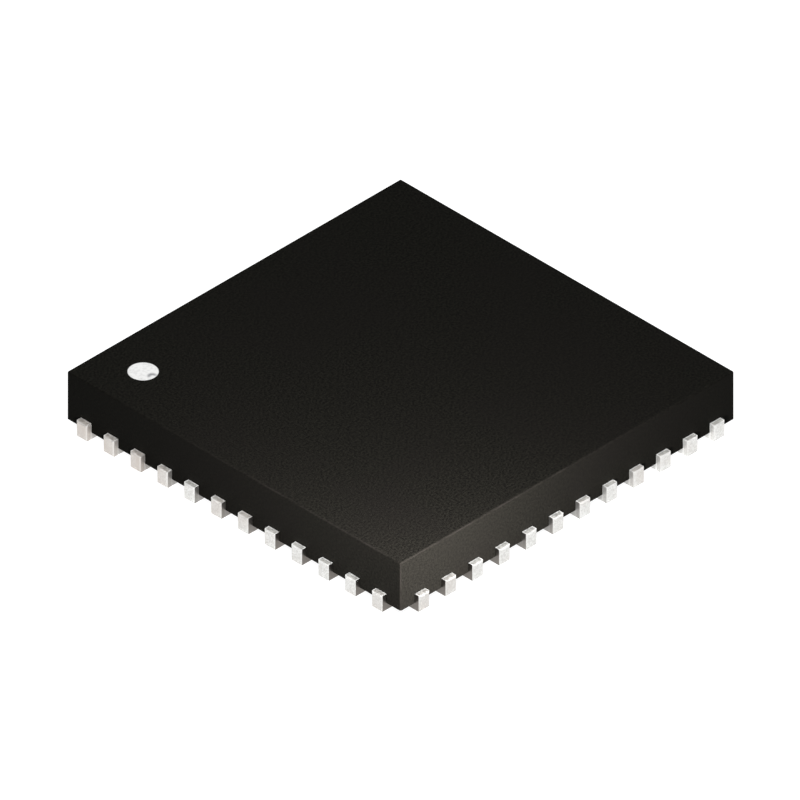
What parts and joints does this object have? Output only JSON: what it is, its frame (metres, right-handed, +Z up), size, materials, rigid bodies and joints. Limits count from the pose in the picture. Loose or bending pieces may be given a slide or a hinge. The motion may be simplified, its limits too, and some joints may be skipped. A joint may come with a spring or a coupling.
{
  "type": "quad flat no-lead chip",
  "caption": "Square black moulded chip package with flat tin-plated terminals standing out of all four sides and a bare die pad underneath.",
  "frame": {"origin": "on the seating plane, under the middle of the package", "axes": "+Z up out of the top of the moulding; +X and +Y square to its sides, with terminal 1 at the -X +Y corner"},
  "size_m": [0.0072, 0.0072, 0.001],
  "materials": {
    "moulding_compound": "black moulded epoxy, fine even grain",
    "white_ink": "matt white ink in a shallow dimple",
    "pad_plate": "matt tin plating on rolled copper sheet",
    "silver_glue": "silver-filled epoxy",
    "silicon": "polished silicon",
    "tin_plate": "bright matt tin plating on copper"
  },
  "bodies": {
    "root": {"mould_body": "moulding_compound", "pin1_mark": "white_ink", "die_pad": "pad_plate", "die_attach": "silver_glue", "silicon_die": "silicon", "terminal_01": "tin_plate", "terminal_02": "tin_plate", "terminal_03": "tin_plate", "terminal_04": "tin_plate", "terminal_05": "tin_plate", "terminal_06": "tin_plate", "terminal_07": "tin_plate", "terminal_08": "tin_plate", "terminal_09": "tin_plate", "terminal_10": "tin_plate", "terminal_11": "tin_plate", "terminal_12": "tin_plate", "terminal_13": "tin_plate", "terminal_14": "tin_plate", "terminal_15": "tin_plate", "terminal_16": "tin_plate", "terminal_17": "tin_plate", "terminal_18": "tin_plate", "terminal_19": "tin_plate", "terminal_20": "tin_plate", "terminal_21": "tin_plate", "terminal_22": "tin_plate", "terminal_23": "tin_plate", "terminal_24": "tin_plate", "terminal_25": "tin_plate", "terminal_26": "tin_plate", "terminal_27": "tin_plate", "terminal_28": "tin_plate", "terminal_29": "tin_plate", "terminal_30": "tin_plate", "terminal_31": "tin_plate", "terminal_32": "tin_plate", "terminal_33": "tin_plate", "terminal_34": "tin_plate", "terminal_35": "tin_plate", "terminal_36": "tin_plate", "terminal_37": "tin_plate", "terminal_38": "tin_plate", "terminal_39": "tin_plate", "terminal_40": "tin_plate", "terminal_41": "tin_plate", "terminal_42": "tin_plate", "terminal_43": "tin_plate", "terminal_44": "tin_plate", "terminal_45": "tin_plate", "terminal_46": "tin_plate", "terminal_47": "tin_plate", "terminal_48": "tin_plate"}
  },
  "joints": []
}
